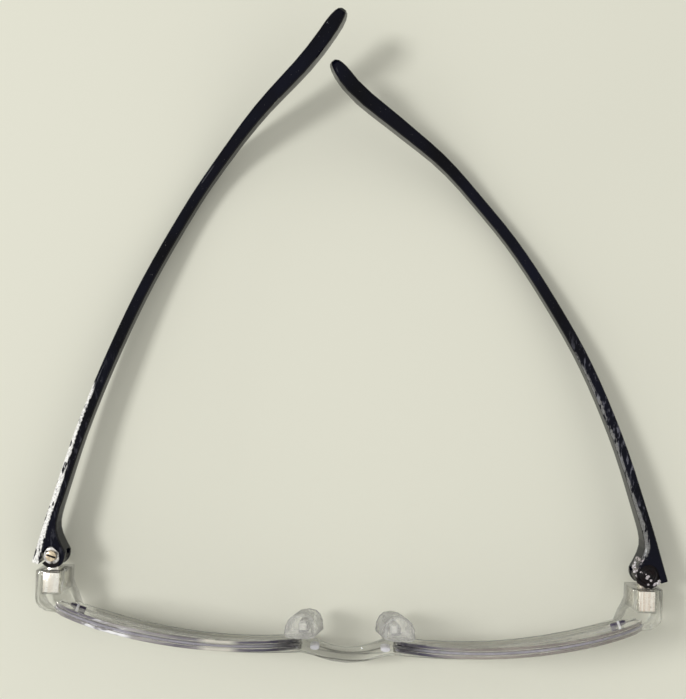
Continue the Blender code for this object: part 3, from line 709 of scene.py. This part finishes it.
# Chips on the broken cheek, painted whitish for glints, and lumps of dirt before the
# fouled screw: how far right of, behind and, for the chips, above the hinge line, and how
# big, in millimetres.
CHIPS = (
    (63.0, 1.6, 10.2, 0.46), (63.1, 0.6, 10.6, 0.38), (63.6, -0.3, 10.9, 0.40),
    (64.1, -1.0, 10.8, 0.34), (63.7, 0.9, 11.0, 0.36), (64.2, -0.3, 11.2, 0.38),
    (64.8, -0.9, 11.3, 0.38), (65.2, -1.6, 11.2, 0.32), (63.2, 2.6, 10.4, 0.34),
    (65.9, -1.9, 11.9, 0.30), (64.3, 0.6, 11.9, 0.26), (67.3, -2.0, 11.9, 0.32),
    (65.7, -0.4, 12.1, 0.30), (66.4, -1.1, 12.1, 0.26), (65.3, 0.2, 12.1, 0.22),
    (67.9, -1.7, 11.9, 0.30), (68.3, -1.2, 11.9, 0.22),
)
LUMPS = (
    (66.6, -2.30, 0.80), (65.6, -2.25, 0.75), (67.3, -2.00, 0.60), (64.7, -1.90, 0.65),
    (64.0, -1.55, 0.55),
)
LUMP_HEIGHT = 11.5

# The rippled disc of dirt round the fouled screw: radius and height of each ring, in
# millimetres, from the top down.
DISC_RINGS = (
    (0.10, 12.15), (0.60, 12.20), (0.95, 12.02), (1.15, 12.16), (1.50, 11.98),
    (1.75, 12.08), (2.10, 11.86), (2.40, 11.55), (2.55, 11.25), (2.30, 11.06),
    (0.10, 11.06),
)

# The dark sheet of painted shade in the recess round a hinge barrel: the radius of its
# ring, its width, its height and how high its middle is, in millimetres, then where it
# starts and how far it goes round.
SHADE_RING_RADIUS = 2.35
SHADE_RING_WIDTH = 0.8
SHADE_RING_HEIGHT = 5.6
SHADE_RING_MIDDLE = 8.0
SHADE_RING_START = {"left": math.radians(220), "right": math.radians(-40)}
SHADE_RING_SWEEP = math.radians(140)

# The dark fill in the slot of the left screw: its place and size, in millimetres.
SLOT_PLACE = (-66.0, 0.0, 11.76)
SLOT_SIZE = (2.1, 0.36, 0.10)
SLOT_TURN = math.radians(-15.3)


class EYEGLASSES_OT_damage(PieceOperator):
    """Chips, packed dirt, the dark lump at the broken hinge and painted shade round the barrels
    """

    bl_idname = "eyeglasses.damage"
    bl_label = "Damage and dirt"

    def make(self, settings):
        self.chips()
        # One dark material serves for the packed dirt and for the painted shade in the hinge
        # recesses.
        dirt_and_shade = grime("packed dirt", (0.003, 0.0025, 0.003), (0.009, 0.005, 0.005))
        self.slot_dirt(dirt_and_shade)
        self.packed_dirt(dirt_and_shade)
        self.lump(dirt_and_shade)
        for side, sign in SIDES.items():
            self.wedged_dirt(dirt_and_shade, side, sign)

    def chips(self):
        """Splinters that stand on the jagged cheek, painted whitish for glints."""
        chance = random.Random(11)
        bright = rough_break(
            "chips with painted glints", (0.46, 0.42, 0.43), (1.0, 0.96, 0.96)
        )
        chips = []
        for number, (x, y, z, size) in enumerate(CHIPS):
            chip = added(
                bpy.ops.mesh.primitive_ico_sphere_add, f"chip_{number}",
                subdivisions=2, radius=size * MM, location=from_hinges(x, y, z),
            )
            in_edit_mode(chip, (bpy.ops.transform.vertex_random, {
                "offset": size * 0.35 * MM, "uniform": 0.6, "normal": 0.4,
                "seed": number + 1,
            }))
            chip.scale = (chance.uniform(0.6, 1.3), chance.uniform(0.6, 1.5), 0.55)
            chip.rotation_euler = (0, 0, chance.uniform(0, 3))
            chips.append(chip)
        settle(joined(chips, "chips_right"), [bright], "right_temple", "navy_plastic")

    def slot_dirt(self, dirt_and_shade):
        """A dark block that fills the slot of the left screw."""
        piece = added(
            bpy.ops.mesh.primitive_cube_add, "slot_dirt_left", size=1,
            location=from_hinges(*SLOT_PLACE), rotation=(0, 0, SLOT_TURN),
        )
        piece.scale = [length * MM for length in SLOT_SIZE]
        bpy.ops.object.transform_apply(location=True, rotation=True, scale=True)
        soften(piece, 0.00003, 30)
        settle(piece, [dirt_and_shade], "left_temple", "screw_metal")

    def wedged_dirt(self, dirt_and_shade, side, sign):
        """A dark sheet of painted shade between a hinge barrel and the wall of the temple's
        root.
        """
        hinge = HINGES[f"{side}_hinge"]
        start = SHADE_RING_START[side]
        centre = Vector((hinge.x, hinge.y, SHADE_RING_MIDDLE * MM))
        outward = Vector((math.cos(start), math.sin(start), 0))
        piece = added(
            bpy.ops.mesh.primitive_plane_add, f"wedged_dirt_{side}", size=1,
            location=centre + SHADE_RING_RADIUS * MM * outward,
            rotation=(math.pi / 2, 0, start),
        )
        piece.scale = (SHADE_RING_WIDTH * MM, SHADE_RING_HEIGHT * MM, 1)
        bpy.ops.object.transform_apply(location=True, rotation=True, scale=True)
        in_edit_mode(
            piece,
            (bpy.ops.mesh.spin, {
                "steps": 16, "angle": SHADE_RING_SWEEP * sign, "center": centre,
                "axis": (0, 0, 1),
            }),
            (bpy.ops.mesh.select_all, {"action": "SELECT"}),
            (bpy.ops.mesh.normals_make_consistent, {"inside": False}),
        )
        settle(piece, [dirt_and_shade], f"{side}_temple", "screw_metal")

    def packed_dirt(self, dirt_and_shade):
        """A rippled dark disc of dirt round the fouled screw."""
        hinge = HINGES["right_hinge"]
        top_radius, top_height = DISC_RINGS[0]
        piece = added(
            bpy.ops.mesh.primitive_circle_add, "packed_dirt_right",
            vertices=40, radius=top_radius * MM, fill_type="NGON",
            location=(hinge.x, hinge.y, top_height * MM),
        )
        bpy.ops.object.mode_set(mode="EDIT")
        bpy.ops.mesh.select_all(action="SELECT")
        steps = zip(DISC_RINGS, DISC_RINGS[1:])
        for (radius, height), (following, next_height) in steps:
            bpy.ops.mesh.extrude_region_move(
                TRANSFORM_OT_translate={"value": (0, 0, (next_height - height) * MM)}
            )
            share = following / radius
            bpy.ops.transform.resize(
                value=(share, share, 1),
                center_override=(hinge.x, hinge.y, next_height * MM),
            )
        bpy.ops.mesh.select_all(action="SELECT")
        bpy.ops.mesh.remove_doubles(threshold=1e-7)
        bpy.ops.mesh.normals_make_consistent(inside=False)
        bpy.ops.object.mode_set(mode="OBJECT")
        settle(piece, [dirt_and_shade], "right_temple", "screw_metal")

    def lump(self, dirt_and_shade):
        """Irregular lump of dirt in front of the fouled screw, over the leaf's web."""
        parts = []
        for number, (x, y, size) in enumerate(LUMPS):
            part = added(
                bpy.ops.mesh.primitive_ico_sphere_add, f"lump_{number}", subdivisions=3,
                radius=size * MM, location=from_hinges(x, y, LUMP_HEIGHT),
            )
            in_edit_mode(part, (bpy.ops.transform.vertex_random, {
                "offset": 0.10 * MM, "uniform": 0.2, "normal": 0.8, "seed": number + 5,
            }))
            part.scale = (1.0, 0.95, 0.42 / size)
            parts.append(part)
        piece = joined(parts, "packed_lump_right")
        apply_modifier(piece, "REMESH", mode="VOXEL", voxel_size=0.00012)
        settle(piece, [dirt_and_shade], "right_temple", "screw_metal")


# The plugs at the nasal ends of the cords, right of the middle, and the small bars that
# show at the outer ends: place on the right side, length and width, in millimetres.
NASAL_PLUGS = {"left": -7.2, "right": 8.4}
OUTER_BARS = {
    "dark": ((61.0, -11.0, 9.3, 1.3, 0.7), (59.1, -11.7, 9.3, 1.5, 0.8)),
    "pale": ((60.1, -11.3, 9.5, 0.5, 1.2), (60.4, -12.1, 9.2, 3.4, 0.5)),
}
BAR_HEIGHT = 0.7
BAR_TURN = math.radians(17)


class EYEGLASSES_OT_cord_ends(PieceOperator):
    """The small plugs that hold the cord ends in the clear front"""

    bl_idname = "eyeglasses.cord_ends"
    bl_label = "Cord ends"

    def make(self, settings):
        dark = grime("dark cord plug", (0.030, 0.022, 0.050), (0.16, 0.14, 0.20))
        pale = nylon_line("pale cord plug", (0.97, 0.96, 1.0))
        for side, x in NASAL_PLUGS.items():
            slug = added(
                bpy.ops.mesh.primitive_cylinder_add, f"nasal_cord_plug_{side}",
                vertices=32, radius=0.8 * MM, depth=4.0 * MM,
                location=from_hinges(x, -18.0, 11.0),
            )
            slug.scale = (1.3, 0.7, 1.0)
            soften(slug, 0.0002, 30)
            settle(slug, [pale], "front", "nylon")
        finishes = {"dark": dark, "pale": pale}
        for side, sign in SIDES.items():
            for shade, finish in finishes.items():
                self.outer_plug(side, sign, shade, finish)

    def outer_plug(self, side, sign, shade, finish):
        """The bars of one shade at the outer end of one lens."""
        made = []
        for number, (x, y, z, length, width) in enumerate(OUTER_BARS[shade]):
            bar = added(
                bpy.ops.mesh.primitive_cube_add, f"{shade}_bar_{number}", size=1,
                location=from_hinges(sign * x, y, z),
            )
            bar.scale = (length * MM, width * MM, BAR_HEIGHT * MM)
            bar.rotation_euler = (0, 0, sign * BAR_TURN)
            made.append(bar)
        piece = joined(made, f"{shade}_cord_plug_{side}")
        select_only(piece)
        bpy.ops.object.transform_apply(location=True, rotation=True, scale=True)
        soften(piece, 0.0001, 30)
        settle(piece, [finish], "front", "nylon")


class EYEGLASSES_OT_stage(PieceOperator):
    """Lay the pale floor, light it and place the camera"""

    bl_idname = "eyeglasses.stage"
    bl_label = "Floor, light and camera"

    def make(self, settings):
        floor = added(
            bpy.ops.mesh.primitive_plane_add, "floor", size=6, location=(0, 0, -0.0001)
        )
        bpy.ops.object.transform_apply(location=True)
        pale = Finish(
            "pale floor", Base_Color=(0.735, 0.730, 0.625), Roughness=0.55,
            Specular_IOR_Level=0.2,
        )
        floor.data.materials.append(pale.material)

        world = bpy.context.scene.world or bpy.data.worlds.new("studio")
        bpy.context.scene.world = world
        world.use_nodes = True
        sky = Graph(world.node_tree, "Generated")
        background = sky.tree.nodes["Background"]
        sky.feed(background.inputs["Color"], (1.0, 0.995, 0.97))
        room = sky.band(sky.axis("Z"), 0.10, 0.60, 0.06, 0.76)
        seen = sky.node("ShaderNodeLightPath", output="Is Camera Ray")
        sky.feed(background.inputs["Strength"], room + seen * (0.80 - room))

        self.panel(
            "key", towards=(-0.70, 0.16, 1.0), distance=2.0, size=(0.40, 0.40),
            power=settings.light_power,
        )
        self.panel(
            "window", towards=(-1.0, 0.10, 0.22), distance=0.8, size=(0.5, 0.10),
            power=0.6,
        )
        self.camera()
        bpy.context.scene.view_settings.view_transform = "Standard"

    def panel(self, name, towards, distance, size, power):
        """A soft rectangular lamp in that direction, aimed at the glasses."""
        aim = Vector(towards).normalized()
        lamp = bpy.data.lights.new(name, "AREA")
        lamp.shape = "RECTANGLE"
        lamp.size, lamp.size_y = size
        lamp.energy = power
        holder = bpy.data.objects.new(name, lamp)
        bpy.context.scene.collection.objects.link(holder)
        holder.location = aim * distance
        holder.rotation_euler = aim.to_track_quat("Z", "Y").to_euler()

    def camera(self):
        eye = bpy.data.cameras.new("overhead")
        eye.lens = CAMERA_LENS
        eye.sensor_width = CAMERA_SENSOR
        eye.clip_start = 0.01
        holder = bpy.data.objects.new("overhead", eye)
        bpy.context.scene.collection.objects.link(holder)
        holder.location = from_hinges(*CAMERA_OVER)
        holder.rotation_euler = (0, 0, CAMERA_TURN)
        bpy.context.scene.camera = holder


STEPS = (
    EYEGLASSES_OT_front, EYEGLASSES_OT_lenses, EYEGLASSES_OT_cords, EYEGLASSES_OT_pads,
    EYEGLASSES_OT_hinges, EYEGLASSES_OT_temples, EYEGLASSES_OT_damage,
    EYEGLASSES_OT_cord_ends, EYEGLASSES_OT_stage,
)


class EYEGLASSES_PT_panel(bpy.types.Panel):
    """Sizes, colours and building steps of the eyeglasses"""

    bl_idname = "EYEGLASSES_PT_panel"
    bl_label = "Eyeglasses"
    bl_space_type = "VIEW_3D"
    bl_region_type = "UI"
    bl_category = "Eyeglasses"

    def draw(self, context):
        for name in EyeglassesSettings.__annotations__:
            self.layout.prop(context.scene.eyeglasses, name)
        for step in STEPS:
            self.layout.operator(step.bl_idname)


def register():
    for made in (EyeglassesSettings, *STEPS, EYEGLASSES_PT_panel):
        bpy.utils.register_class(made)
    bpy.types.Scene.eyeglasses = bpy.props.PointerProperty(type=EyeglassesSettings)


def unregister():
    del bpy.types.Scene.eyeglasses
    for made in (EYEGLASSES_PT_panel, *reversed(STEPS), EyeglassesSettings):
        bpy.utils.unregister_class(made)


def main():
    register()
    for step in STEPS:
        group, name = step.bl_idname.split(".")
        getattr(getattr(bpy.ops, group), name)()


if __name__ == "__main__":
    main()
